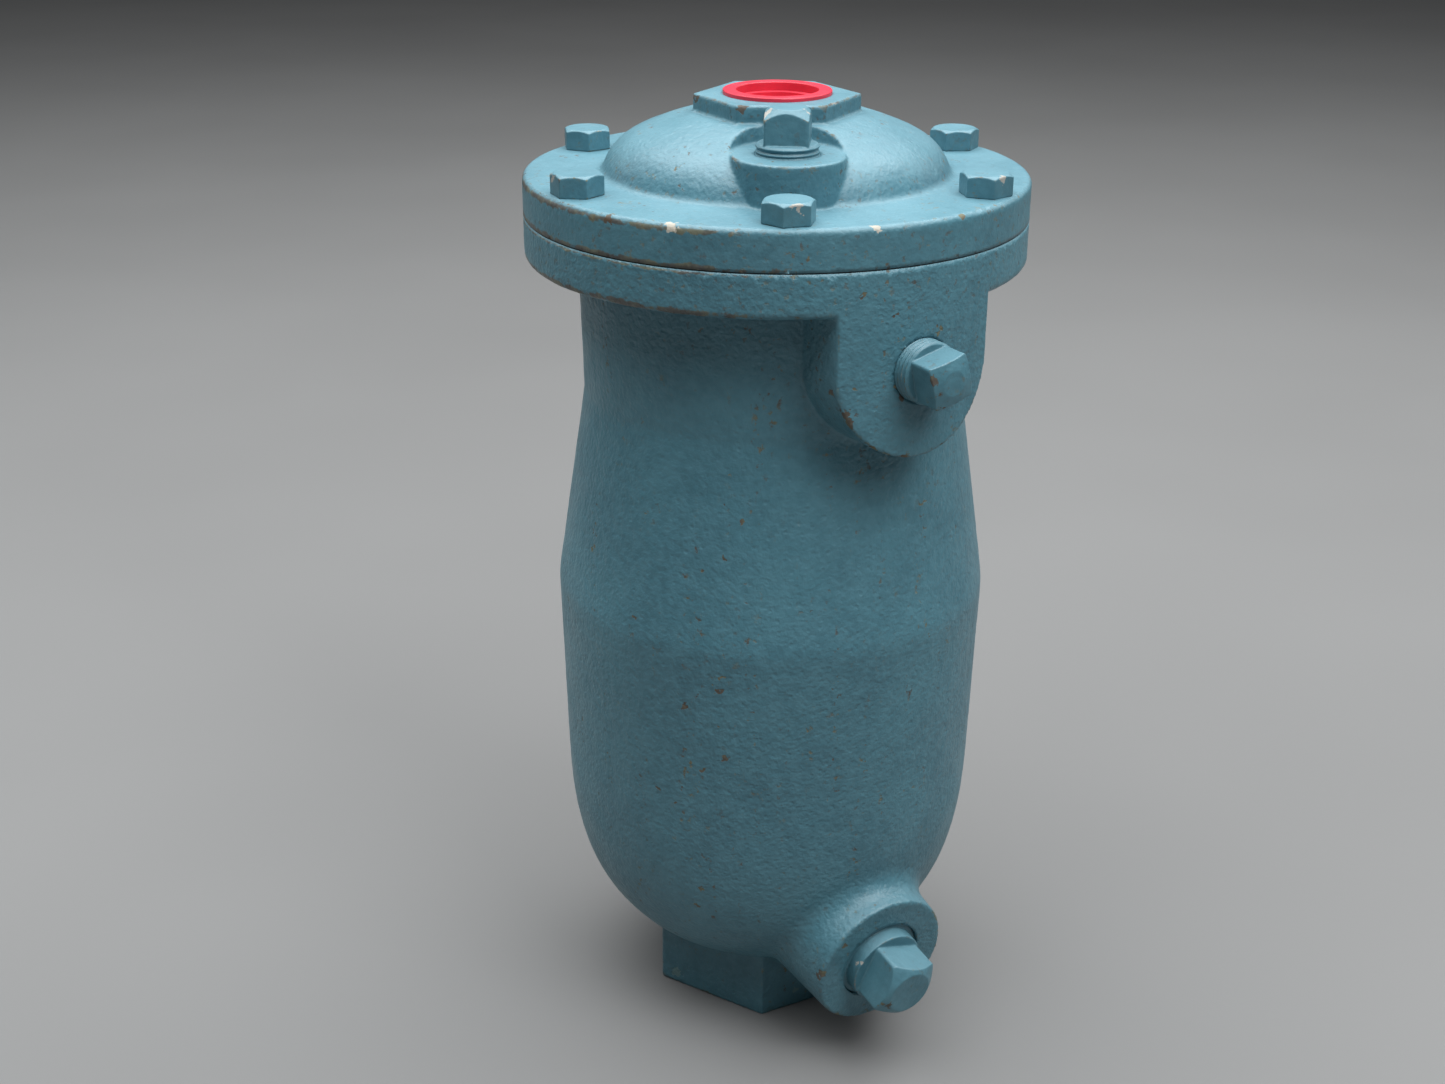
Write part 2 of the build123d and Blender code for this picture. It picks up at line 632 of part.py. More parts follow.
# ---------------------------------------------------------------- float and stem
FLOAT_X = SECONDARY_PIVOT[0] + FLOAT_PIN_PLACE[0]
EYE_Z = SECONDARY_PIVOT[1] + FLOAT_PIN_PLACE[1]
FLOAT_TOP_Z = FLOAT_BOTTOM_Z + FLOAT_LENGTH
STEM_AXIS = Axis((FLOAT_X, 0, 0), (0, 0, 1))

with BuildPart() as stem_eye:
    with BuildSketch(Plane.XZ.offset(-5)):
        with Locations((FLOAT_X, EYE_Z)):
            Circle(5.6)
        with Locations((FLOAT_X, EYE_Z - 7)):
            Rectangle(10, 14)
        with Locations((FLOAT_X, EYE_Z)):
            Circle(PIVOT_PIN_RADIUS + PIN_CLEARANCE, mode=Mode.SUBTRACT)
    extrude(amount=10)
    with BuildSketch(Plane(origin=(FLOAT_X, 0, EYE_Z - 14))):
        Circle(STEM_RADIUS + 0.02)
    extrude(amount=9, mode=Mode.SUBTRACT)

with BuildPart() as stem_lock_nuts:
    for height in (EYE_Z - 14, FLOAT_TOP_Z + 8):
        with BuildSketch(Plane(origin=(FLOAT_X, 0, height))):
            RegularPolygon(5.5, 6, major_radius=False, rotation=12)
            Circle(STEM_RADIUS + 0.02, mode=Mode.SUBTRACT)
        extrude(amount=-4 if height > EYE_Z - 20 else 4)

with BuildPart() as float_stem:
    disc(Plane(origin=(FLOAT_X, 0, FLOAT_TOP_Z)), STEM_RADIUS, EYE_Z - 5.5 - FLOAT_TOP_Z)

with BuildPart() as float_boss:
    disc(Plane(origin=(FLOAT_X, 0, FLOAT_TOP_Z - 4)), 8, 12)
    with BuildSketch(Plane(origin=(FLOAT_X, 0, FLOAT_TOP_Z))):
        Circle(STEM_RADIUS + 0.02)
    extrude(amount=10, mode=Mode.SUBTRACT)


def float_half(direction):
    """One spun half of the float: a dished cup whose rim meets the other half's at mid length."""
    middle = FLOAT_BOTTOM_Z + FLOAT_LENGTH / 2
    half = FLOAT_LENGTH / 2 * direction
    inset = FLOAT_WALL * direction
    with BuildSketch(Plane.XZ) as section:
        with BuildLine():
            shoulder = middle + half - 26 * direction
            outer = Polyline((FLOAT_X + FLOAT_RADIUS, middle), (FLOAT_X + FLOAT_RADIUS, shoulder))
            crown = Spline(
                outer @ 1,
                (FLOAT_X, middle + half),
                tangents=((0, direction), (-1, 0)),
            )
            top = Line(crown @ 1, (FLOAT_X, middle + half - inset))
            inner_crown = Spline(
                top @ 1,
                (FLOAT_X + FLOAT_RADIUS - FLOAT_WALL, shoulder),
                tangents=((1, 0), (0, -direction)),
            )
            Polyline(inner_crown @ 1, (FLOAT_X + FLOAT_RADIUS - FLOAT_WALL, middle), outer @ 0)
        make_face()
    revolve(section.sketch, axis=STEM_AXIS)


with BuildPart() as float_upper_half:
    float_half(1)
    with BuildSketch(Plane(origin=(FLOAT_X, 0, FLOAT_TOP_Z - 10))):
        Circle(8)
    extrude(amount=20, mode=Mode.SUBTRACT)

with BuildPart() as float_lower_half:
    float_half(-1)

# ---------------------------------------------------------------- writing
NODES = {
    "body_casting": body_casting,
    "cover_casting": cover_casting,
    "cover_gasket": cover_gasket,
    "cover_bolts": cover_bolts,
    "cover_port_plug": cover_port_plug,
    "flush_port_plug": flush_port_plug,
    "drain_plug": drain_plug,
    "outlet_thread_protector": outlet_thread_protector,
    "orifice_seat": orifice_seat,
    "lever_bracket": lever_bracket,
    "bracket_lock_washers": bracket_lock_washers,
    "bracket_screws": bracket_screws,
    "pivot_pins": pivot_pins,
    "pivot_pin_clips": pivot_pin_clips,
    "primary_lever": primary_lever,
    "valve_button_holder": valve_button_holder,
    "valve_button_disc": valve_button_disc,
    "button_lock_nut": button_lock_nut,
    "float_lever": float_lever,
    "link_pin": link_pin,
    "float_pin": float_pin,
    "float_pin_clips": float_pin_clips,
    "stem_eye": stem_eye,
    "stem_lock_nuts": stem_lock_nuts,
    "float_stem": float_stem,
    "float_boss": float_boss,
    "float_upper_half": float_upper_half,
    "float_lower_half": float_lower_half,
}

os.makedirs("parts", exist_ok=True)
for label, node in NODES.items():
    node.part.label = label
    export_step(node.part, f"parts/{label}.step")
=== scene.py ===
"""Looks for a cast-iron air release valve in blue-green enamel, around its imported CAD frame.

Lengths are in metres. The origin is the centre of the inlet boss's bottom face, +Z is up, and the
front cover bolt lies on -Y.
"""

import math

import bpy
import numpy as np
from mathutils import Matrix, Vector
from mathutils.bvhtree import BVHTree


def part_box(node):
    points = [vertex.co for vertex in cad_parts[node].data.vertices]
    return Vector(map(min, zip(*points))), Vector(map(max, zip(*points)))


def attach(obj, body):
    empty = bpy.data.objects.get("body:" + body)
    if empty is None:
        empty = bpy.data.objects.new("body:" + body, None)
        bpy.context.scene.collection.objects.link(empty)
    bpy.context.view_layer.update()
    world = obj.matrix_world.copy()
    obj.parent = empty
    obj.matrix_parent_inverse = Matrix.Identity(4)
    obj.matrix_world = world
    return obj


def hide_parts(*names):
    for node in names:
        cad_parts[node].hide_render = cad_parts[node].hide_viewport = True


MM = 0.001

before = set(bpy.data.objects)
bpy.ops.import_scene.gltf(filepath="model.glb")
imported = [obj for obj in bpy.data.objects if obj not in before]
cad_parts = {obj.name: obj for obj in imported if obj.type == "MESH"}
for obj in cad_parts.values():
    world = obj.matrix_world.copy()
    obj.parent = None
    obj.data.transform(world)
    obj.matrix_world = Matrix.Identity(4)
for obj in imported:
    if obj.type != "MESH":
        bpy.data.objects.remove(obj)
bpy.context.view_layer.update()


# ---------------------------------------------------------------- mesh helpers
def bake_modifiers(obj):
    """Applies the object's modifiers to its mesh."""
    graph = bpy.context.evaluated_depsgraph_get()
    mesh = bpy.data.meshes.new_from_object(obj.evaluated_get(graph))
    obj.modifiers.clear()
    obj.data = mesh


def modifier(obj, kind, **settings):
    """Adds a modifier with its settings."""
    added = obj.modifiers.new(kind.lower(), kind)
    for key, value in settings.items():
        setattr(added, key, value)
    return added


def clouds(name, size, depth):
    """A procedural cloud texture for relief."""
    texture = bpy.data.textures.new(name, "CLOUDS")
    texture.noise_scale = size
    texture.noise_depth = depth
    return texture


def coordinates(mesh):
    """Vertex places and normals as arrays."""
    places = np.empty(len(mesh.vertices) * 3)
    normals = np.empty(len(mesh.vertices) * 3)
    mesh.vertices.foreach_get("co", places)
    mesh.vertices.foreach_get("normal", normals)
    return places.reshape(-1, 3), normals.reshape(-1, 3)


def edge_ends(mesh):
    """The two vertices of each edge."""
    ends = np.empty(len(mesh.edges) * 2, dtype=np.int64)
    mesh.edges.foreach_get("vertices", ends)
    return ends.reshape(-1, 2)


def mark_edges(obj, reach):
    """Stores how convex the surface is at each vertex, from 0 to 1, as the attribute edge."""
    mesh = obj.data
    places, normals = coordinates(mesh)
    first, second = edge_ends(mesh).T
    size = len(places)
    count = (np.bincount(first, minlength=size) + np.bincount(second, minlength=size)).clip(1)
    offset = places[second] - places[first]
    length = np.linalg.norm(offset, axis=1).clip(1e-7)
    turn = ((normals[second] - normals[first]) * offset).sum(1) / length**2
    bend = np.bincount(first, turn, size) + np.bincount(second, turn, size)
    bend /= count
    for _ in range(2):
        shared = np.bincount(first, bend[second], size) + np.bincount(second, bend[first], size)
        bend = 0.4 * bend + 0.6 * shared / count
    layer = mesh.attributes.new("edge", "FLOAT", "POINT")
    layer.data.foreach_set("value", np.clip(bend * reach, 0, 1).astype(np.float32))
    mesh.polygons.foreach_set("use_smooth", [True] * len(mesh.polygons))


def rough_group(obj, weights):
    """A vertex group that says how rough each vertex is left, in steps of a tenth."""
    made = obj.vertex_groups.new(name="rough")
    steps = np.round(weights * 10).astype(int)
    for step in range(1, 11):
        members = np.nonzero(steps == step)[0]
        made.add(members.tolist(), step / 10, "REPLACE")
    return made.name


def axis_distance(places, point, direction):
    """How far each place is from an axis, and how far along it."""
    along = (places - point) @ direction
    return np.linalg.norm(places - point - along[:, None] * direction, axis=1), along


def fade(distance, near, far):
    """0 within the near distance and 1 beyond the far one."""
    return np.clip((distance - near) / (far - near), 0, 1)


def cast_copy(node, name, voxel, rounds, keep, machined=None, relief=()):
    """A casting made from a CAD node: same shape, softened edges, and relief where it isn't machined.

    The voxel's size and the rounds of smoothing say how soft the edges are, and keep is the share of
    the triangles that stays. Each relief has its depth and its size.
    """
    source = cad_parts[node]
    obj = bpy.data.objects.new(name, source.data.copy())
    obj.matrix_world = source.matrix_world
    bpy.context.scene.collection.objects.link(obj)
    obj.data.materials.clear()
    modifier(obj, "WELD", merge_threshold=0.01 * MM)
    modifier(obj, "REMESH", mode="VOXEL", voxel_size=voxel, adaptivity=0.0)
    modifier(obj, "SMOOTH", factor=0.5, iterations=2)
    modifier(obj, "SHRINKWRAP", wrap_method="NEAREST_SURFACEPOINT", target=source)
    modifier(obj, "SMOOTH", factor=0.5, iterations=rounds)
    bake_modifiers(obj)
    rough = ""
    if machined:
        places, normals = coordinates(obj.data)
        weights = machined(places, normals)
        obj.data.vertices.foreach_set("co", places.ravel())
        obj.data.update()
        rough = rough_group(obj, weights)
    for depth, size in relief:
        modifier(
            obj,
            "DISPLACE",
            texture=clouds(f"{name}_{size}", size, 2),
            strength=depth,
            mid_level=0.5,
            texture_coords="LOCAL",
            vertex_group=rough,
        )
    modifier(obj, "DECIMATE", ratio=keep)
    bake_modifiers(obj)
    obj.vertex_groups.clear()
    return obj


# ---------------------------------------------------------------- materials
def shader(name):
    """An empty node material and its principled shader."""
    material = bpy.data.materials.new(name)
    material.use_nodes = True
    tree = material.node_tree
    tree.nodes.clear()
    out = tree.nodes.new("ShaderNodeOutputMaterial")
    surface = tree.nodes.new("ShaderNodeBsdfPrincipled")
    tree.links.new(surface.outputs[0], out.inputs[0])
    return material, tree, surface


class Graph:
    """Small helper that wires shader nodes."""

    def __init__(self, tree):
        self.tree = tree
        self.place = tree.nodes.new("ShaderNodeTexCoord").outputs["Object"]

    def node(self, kind, inputs=(), **settings):
        made = self.tree.nodes.new(kind)
        for key, value in settings.items():
            setattr(made, key, value)
        for key, value in dict(inputs).items():
            if isinstance(value, bpy.types.NodeSocket):
                self.tree.links.new(value, made.inputs[key])
            else:
                made.inputs[key].default_value = value
        return made

    def noise(self, scale, detail=3.0, rough=0.55, place=None):
        made = self.node(
            "ShaderNodeTexNoise",
            {"Vector": place or self.place, "Scale": scale, "Detail": detail, "Roughness": rough},
        )
        return made.outputs["Fac"]

    def cells(self, scale):
        return self.node("ShaderNodeTexVoronoi", {"Vector": self.place, "Scale": scale}).outputs["Distance"]

    def stretched(self, scale):
        """The place, scaled on its own along each axis."""
        return self.node("ShaderNodeMapping", {"Vector": self.place, "Scale": scale}).outputs[0]

    def ramp(self, value, low, high):
        """A soft step from 0 at low to 1 at high."""
        made = self.node(
            "ShaderNodeMapRange",
            {"Value": value, "From Min": low, "From Max": high},
            interpolation_type="SMOOTHSTEP",
        )
        return made.outputs["Result"]

    def math(self, how, a, b=0.0, c=0.0):
        made = self.node("ShaderNodeMath", {0: a, 1: b, 2: c}, operation=how)
        return made.outputs[0]

    def mix(self, amount, a, b):
        made = self.node("ShaderNodeMix", {0: amount, 6: a, 7: b}, data_type="RGBA")
        return made.outputs[2]

    def edge(self):
        return self.node("ShaderNodeAttribute", attribute_name="edge").outputs["Fac"]

    def axis(self, which):
        """One coordinate of the place: 0, 1 or 2 for x, y or z."""
        return self.node("ShaderNodeSeparateXYZ", {0: self.place}).outputs[which]

    def upward(self):
        """How much the surface faces up."""
        normal = self.node("ShaderNodeNewGeometry").outputs["Normal"]
        return self.node("ShaderNodeSeparateXYZ", {0: normal}).outputs[2]

    def bump(self, height, strength, distance):
        inputs = {"Height": height, "Strength": strength, "Distance": distance}
        return self.node("ShaderNodeBump", inputs).outputs[0]

    def drifted(self, reach):
        """The place, moved at random by up to the given reach, so that marks get ragged outlines."""
        drift = self.node("ShaderNodeTexNoise", {"Vector": self.place, "Scale": 330.0}).outputs["Color"]
        scaled = {0: drift, 1: (2 * reach,) * 3, 2: (-reach,) * 3}
        drift = self.node("ShaderNodeVectorMath", scaled, operation="MULTIPLY_ADD").outputs[0]
        return self.node("ShaderNodeVectorMath", {0: self.place, 1: drift}, operation="ADD").outputs[0]

    def near(self, spots):
        """1 at any of the places listed with their radii, falling to 0 at those radii."""
        place = self.drifted(3.5 * MM)
        total = 0.0
        for spot, radius in spots:
            apart = self.node("ShaderNodeVectorMath", {0: place, 1: spot}, operation="DISTANCE")
            total = self.math("MAXIMUM", total, self.ramp(apart.outputs["Value"], radius, 0.0))
        return total

    def speckled(self, close, reach):
        """A mark that is dense at its middle and breaks up towards its rim."""
        dense = self.ramp(self.math("MULTIPLY_ADD", close, 0.75, reach), 0.84, 0.98)
        return self.math("MULTIPLY", dense, self.ramp(close, 0.0, 0.12))


ENAMEL = (0.068, 0.188, 0.236, 1)
ENAMEL_LIGHT = (0.092, 0.232, 0.288, 1)
ENAMEL_DARK = (0.050, 0.143, 0.184, 1)
# paler enamel for upward faces: painted top light with a little dust
DUST_AND_TOP_LIGHT = (0.15, 0.285, 0.34, 1)
RUST = (0.085, 0.050, 0.026, 1)
OCHRE = (0.15, 0.125, 0.06, 1)
PRIMER = (0.46, 0.42, 0.35, 1)
PATCHED = (0.15, 0.25, 0.25, 1)
STEEL = (0.38, 0.36, 0.32, 1)


def spots(node, *marks):
    """Places on a node's outer surface with their radii.

    Each mark has its angle round from the front in degrees, and its height and radius in millimetres.
    """
    tree = BVHTree.FromObject(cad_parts[node], bpy.context.evaluated_depsgraph_get())
    found = []
    for degrees, height, radius in marks:
        outward = Vector((math.sin(math.radians(degrees)), -math.cos(math.radians(degrees)), 0))
        start = outward * 200 * MM + Vector((0, 0, height * MM))
        found.append((tree.ray_cast(start, -outward)[0], radius * MM))
    return found


# where the paint is missing
LUG_RUST = spots(
    "body_casting",
    (15.5, 303, 2.0),
    (23, 296, 1.2),
    (34, 288.5, 2.3),
    (14, 272, 2.0),
    (23.5, 271.5, 1.4),
    (9.8, 271, 2.2),
    (25, 267.5, 1.8),
    (12, 264.5, 3.2),
    (13, 261, 2.6),
    (19, 251.5, 2.2),
    (36.5, 248, 1.8),
    (26.5, 246.5, 2.0),
)
BELLY_RUST = spots(
    "body_casting",
    (-14.5, 235.5, 1.2),
    (-15, 225.5, 1.4),
    (-11.5, 219.5, 1.8),
    (-14.5, 207.5, 1.7),
    (-21, 202.5, 1.4),
    (-59, 197.5, 2.4),
    (-39.5, 180.5, 2.2),
    (-14.5, 165, 1.8),
    (-15, 159, 2.2),
    (-24.5, 151, 2.4),
    (-15, 145, 1.8),
    (-14, 132, 2.8),
    (14, 131.5, 1.5),
    (-23.5, 127.5, 1.8),
    (-20, 126.5, 1.8),
    (-32.5, 115, 2.2),
    (-28, 111, 1.8),
    (-21, 74, 2.6),
    (-22, 66, 2.4),
)
DRAIN_BOSS_RUST = spots("body_casting", (17.5, 56.5, 2.2), (11.3, 44.5, 2.8))
INLET_PALE = spots("body_casting", (-56, 5, 3.4), (15, 7, 2.8))
RIM_RUST = spots("cover_casting", (-39.5, 323.8, 2.6), (-48, 318, 1.6), (39.5, 324.6, 1.8))
RIM_PALE = spots("cover_casting", (-24.5, 324, 3.4), (18, 324.4, 2.0))
OUTLET_RUST = spots("cover_casting", (-26, 351, 2.4), (-85.5, 350, 2.0))
FLUSH_PLUG_RUST = spots("flush_port_plug", (26, 278, 2.2), (27, 273, 1.2), (28, 268, 2.3))
DRAIN_PLUG_RUST = spots("drain_plug", (24.5, 35.5, 3.2))
DRAIN_PLUG_PALE = spots("drain_plug", (21, 47, 2.4))
BOLT_PALE = spots("cover_bolts", (1.5, 331.5, 3.4), (-61.5, 330.5, 2.6), (57.5, 331, 3.2))
COVER_PLUG_PALE = spots("cover_port_plug", (-7, 353, 2.8), (8.5, 353.5, 2.8))


def enamel_colour(g):
    """Blue-green enamel that drifts and mottles, paler on what faces up: a little dust and painted top
    light.
    """
    broad = g.ramp(g.noise(22, 5), 0.3, 0.7)
    mottle = g.ramp(g.noise(260, 3), 0.3, 0.72)
    colour = g.mix(broad, ENAMEL_DARK, ENAMEL)
    colour = g.mix(g.math("MULTIPLY", mottle, 0.45), colour, ENAMEL_LIGHT)
    # painted top light: surfaces that face up are mixed towards a paler enamel, with a little dust
    dust_and_top_light = g.math("MULTIPLY", g.ramp(g.upward(), 0.35, 0.95), 0.4)
    return g.mix(dust_and_top_light, colour, DUST_AND_TOP_LIGHT)


def rust_dots(g, amount):
    """Fine specks of rust where the paint is thin: on the flanges' walls and in runs down the body."""
    runs = g.ramp(g.noise(1.0, 3, place=g.stretched((150, 60, 14))), 0.52, 0.66)
    walls = g.math("MULTIPLY", g.ramp(g.axis(2), 0.294, 0.297), g.ramp(g.upward(), 0.9, 0.5))
    patch = g.math("MAXIMUM", g.ramp(g.noise(38, 4), 0.52, 0.7), runs)
    patch = g.math("MAXIMUM", patch, g.math("MULTIPLY", walls, 0.55))
    dots = g.ramp(g.noise(430, 3, 0.6), 0.58, 0.68)
    return g.math("MULTIPLY", g.math("MULTIPLY", dots, patch), amount)


def rust_line(g, height, width):
    """A broken line of rust at a height, on the left and not on what lies level."""
    off = g.math("ABSOLUTE", g.math("SUBTRACT", g.axis(2), height))
    line = g.math("MULTIPLY", g.ramp(off, width, 0.0), g.ramp(g.axis(0), 0.04, -0.04))
    line = g.math("MULTIPLY_ADD", line, 0.47, g.noise(200, 4, 0.65))
    line = g.math("MULTIPLY", g.ramp(line, 0.78, 0.90), g.ramp(g.upward(), 0.7, 0.4))
    return g.math("MULTIPLY", line, 0.75)


def worn_edges(g, edge, fine, chips):
    """Worn and chipped edges, more of them on the left; chips is the level where wear starts."""
    lean = g.math("MULTIPLY", g.ramp(g.axis(0), 0.03, -0.05), 0.06)
    ragged = g.math("ADD", g.math("MULTIPLY", fine, 0.9), g.math("MULTIPLY", edge, 0.5))
    ragged = g.math("ADD", ragged, lean)
    worn = g.math("MULTIPLY", g.ramp(ragged, chips, chips + 0.07), g.ramp(edge, 0.12, 0.4))
    return g.math("MULTIPLY", worn, g.ramp(g.noise(48, 3), 0.44, 0.58))


def enamel(name, grain, chips, specks, rusty, pale, bare=PRIMER, lines=()):
    """Enamel over a cast surface, with specks and lines of rust, chipped edges and bare spots."""
    material, tree, surface = shader(name)
    g = Graph(tree)
    edge = g.edge()
    fine = g.noise(420, 4, 0.65)
    hue = g.mix(g.ramp(g.noise(150, 2), 0.4, 0.62), RUST, OCHRE)
    dots = rust_dots(g, specks)
    colour = g.mix(dots, enamel_colour(g), hue)
    for height, width in lines:
        colour = g.mix(rust_line(g, height * MM, width * MM), colour, hue)
    worn = worn_edges(g, edge, fine, chips)
    tone = g.ramp(g.noise(90, 3), 0.54, 0.66)
    colour = g.mix(g.math("MULTIPLY", worn, 0.75), colour, g.mix(tone, hue, bare))

    # single larger marks, ragged and keeping to the edges beside them
    reach = g.math("ADD", g.math("MULTIPLY", fine, 1.1), g.math("MULTIPLY", edge, 0.35))
    rust_marks = g.speckled(g.near(rusty), reach)
    colour = g.mix(g.math("MULTIPLY", rust_marks, 0.85), colour, hue)
    pale_marks = g.speckled(g.near(pale), reach)
    colour = g.mix(g.math("MULTIPLY", pale_marks, 0.9), colour, bare)
    tree.links.new(colour, surface.inputs["Base Color"])

    spoiled = g.math("MAXIMUM", worn, dots)
    spoiled = g.math("MAXIMUM", spoiled, g.math("MAXIMUM", rust_marks, pale_marks))
    gloss = g.ramp(g.noise(60, 4), 0.3, 0.7)
    rough = g.math("ADD", 0.38, g.math("MULTIPLY", gloss, 0.12))
    rough = g.math("ADD", rough, g.math("MULTIPLY", spoiled, 0.35))
    tree.links.new(rough, surface.inputs["Roughness"])
    surface.inputs["Specular IOR Level"].default_value = 0.5

    pebble = g.noise(560, 2, 0.5)
    pits = g.ramp(g.cells(330), 0.10, 0.32)
    relief = g.math("ADD", pebble, g.math("MULTIPLY", pits, 0.25))
    relief = g.math("SUBTRACT", relief, g.math("MULTIPLY", spoiled, 0.3))
    tree.links.new(g.bump(relief, grain, 1.1 * MM), surface.inputs["Normal"])
    return material


def metal(name, colour, rough, brush, lathe=False):
    """Machined or spun stainless steel with fine tool marks."""
    material, tree, surface = shader(name)
    g = Graph(tree)
    tone = g.ramp(g.noise(45, 4), 0.3, 0.7)
    darker = tuple(0.8 * c for c in colour[:3]) + (1,)
    tree.links.new(g.mix(tone, darker, colour), surface.inputs["Base Color"])
    surface.inputs["Metallic"].default_value = 1.0
    marks = g.noise(1.0, 3, place=g.stretched((60, 60, 2200) if lathe else (2200, 300, 300)))
    spots = g.ramp(g.noise(300, 3), 0.55, 0.7)
    level = g.math("ADD", rough, g.math("MULTIPLY", marks, 0.15))
    tree.links.new(g.math("ADD", level, g.math("MULTIPLY", spots, 0.12)), surface.inputs["Roughness"])
    tree.links.new(g.bump(marks, brush, 0.2 * MM), surface.inputs["Normal"])
    return material


def polymer(name, colour, rough, grain, thin=0.0):
    """Moulded plastic or rubber with slight colour drift, scuffs and a fine moulded grain."""
    material, tree, surface = shader(name)
    g = Graph(tree)
    darker = tuple(0.82 * c for c in colour[:3]) + (1,)
    paler = tuple(min(1.0, 1.1 * c + 0.03) for c in colour[:3]) + (1,)
    tone = g.mix(g.ramp(g.noise(70, 3), 0.3, 0.7), darker, colour)
    scuff = g.ramp(g.noise(500, 4, 0.7), 0.62, 0.72)
    tree.links.new(g.mix(g.math("MULTIPLY", scuff, 0.5), tone, paler), surface.inputs["Base Color"])
    level = g.math("ADD", rough, g.math("MULTIPLY", g.noise(180, 3), 0.16))
    tree.links.new(level, surface.inputs["Roughness"])
    tree.links.new(g.bump(g.noise(1500, 2), grain, 0.2 * MM), surface.inputs["Normal"])
    if thin:
        surface.inputs["Subsurface Weight"].default_value = thin
        surface.inputs["Subsurface Radius"].default_value = (4 * MM, 1 * MM, 1 * MM)
        surface.inputs["Subsurface Scale"].default_value = 0.5
    return material


CASTING = enamel(
    "enamel_casting",
    grain=0.46,
    chips=0.84,
    specks=0.8,
    rusty=LUG_RUST + BELLY_RUST + DRAIN_BOSS_RUST,
    pale=INLET_PALE,
    bare=PATCHED,
    lines=((297.0, 3.0), (310.4, 2.0)),
)
COVER = enamel(
    "enamel_cover",
    grain=0.26,
    chips=0.85,
    specks=0.85,
    rusty=RIM_RUST + OUTLET_RUST,
    pale=RIM_PALE,
    lines=((311.8, 2.6), (323.5, 3.0)),
)
FASTENER = enamel(
    "enamel_fastener",
    grain=0.16,
    chips=0.90,
    specks=0.4,
    rusty=FLUSH_PLUG_RUST + DRAIN_PLUG_RUST,
    pale=BOLT_PALE + COVER_PLUG_PALE + DRAIN_PLUG_PALE,
    bare=STEEL,
)
STAINLESS = metal("stainless_machined", (0.56, 0.55, 0.53, 1), 0.22, 0.35)
SPUN = metal("stainless_spun", (0.62, 0.61, 0.59, 1), 0.16, 0.3, lathe=True)
RED = polymer("red_polyethylene", (0.66, 0.028, 0.058, 1), 0.34, 0.15, thin=0.12)
BLACK_RUBBER = polymer("black_rubber", (0.025, 0.025, 0.026, 1), 0.6, 0.3)
SHEET = polymer("gasket_sheet", (0.045, 0.05, 0.05, 1), 0.75, 0.5)


# ---------------------------------------------------------------- castings
FLANGE_RADIUS = 88.9 * MM
PORT_DIRECTION = np.array((math.sin(math.radians(30)), -math.cos(math.radians(30)), 0))
DRAIN_TILT = math.radians(9.9)
DRAIN_DIRECTION = PORT_DIRECTION * math.cos(DRAIN_TILT) - np.array((0, 0, math.sin(DRAIN_TILT)))
LUG_FACE = PORT_DIRECTION * FLANGE_RADIUS + np.array((0, 0, 276.0 * MM))
DRAIN_FACE = PORT_DIRECTION * 80.5 * MM + np.array((0, 0, 41.5 * MM))
COVER_PORT = np.array((1.24 * MM, -44.48 * MM, 339.5 * MM))
UPRIGHT = np.array((0.0, 0.0, 1.0))
HALF_INCH_BORE = 10.8 * MM
DRAIN_BORE = 16.75 * MM
OUTLET_FACE_HEIGHT = 350.5 * MM
BODY_VOXEL = 0.9 * MM
COVER_VOXEL = 0.8 * MM
MOUTH_REACH = 0.7 * MM


def square_off(places, height, reach):
    """Moves the places next to a flange's seam corner onto that corner, so that it stays crisp."""
    radius = np.hypot(places[:, 0], places[:, 1])
    rim = (np.abs(places[:, 2] - height) < reach) & (np.abs(radius - FLANGE_RADIUS) < reach)
    scale = FLANGE_RADIUS / radius[rim]
    places[rim, 0] *= scale
    places[rim, 1] *= scale
    places[rim, 2] = height


def open_mouth(places, face, direction, radius, surface):
    """Moves the places next to a bore's mouth onto the bore's rim; surface is how far out they are."""
    away, along = axis_distance(places, face, direction)
    near = np.hypot(away - radius, surface) < MOUTH_REACH
    centre = face + along[near, None] * direction
    places[near] = centre + (places[near] - centre) * (radius / away[near, None])
    places[near] -= surface[near, None] * direction


def bore_fade(places, face, direction, radius):
    """0 at a tapped bore and its mouth, 1 away from it."""
    away, along = axis_distance(places, face, direction)
    return np.maximum(fade(away, radius + 1 * MM, radius + 4 * MM), fade(np.abs(along), 30 * MM, 40 * MM))


def inward(places, normals):
    """1 where the surface faces the part's axis, as the inside of a hollow casting does."""
    radius = np.hypot(places[:, 0], places[:, 1]).clip(MM)
    out = (normals[:, 0] * places[:, 0] + normals[:, 1] * places[:, 1]) / radius
    return fade(-out, 0.2, 0.6)


def machined_body(places, normals):
    """Where the body is left rough: outside, but not at the seam, the bores or the inlet's face."""
    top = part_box("body_casting")[1][2]
    square_off(places, top, BODY_VOXEL)
    rough = np.minimum(fade(top - places[:, 2], 0.6 * MM, 3 * MM), 1 - inward(places, normals))
    rough = np.minimum(rough, fade(places[:, 2], 0.3 * MM, 2 * MM))
    lug_surface = np.hypot(places[:, 0], places[:, 1]) - FLANGE_RADIUS
    drain_surface = (places - DRAIN_FACE) @ DRAIN_DIRECTION
    open_mouth(places, LUG_FACE, PORT_DIRECTION, HALF_INCH_BORE, lug_surface)
    open_mouth(places, DRAIN_FACE, DRAIN_DIRECTION, DRAIN_BORE, drain_surface)
    rough = np.minimum(rough, bore_fade(places, LUG_FACE, PORT_DIRECTION, HALF_INCH_BORE))
    return np.minimum(rough, bore_fade(places, DRAIN_FACE, DRAIN_DIRECTION, DRAIN_BORE))


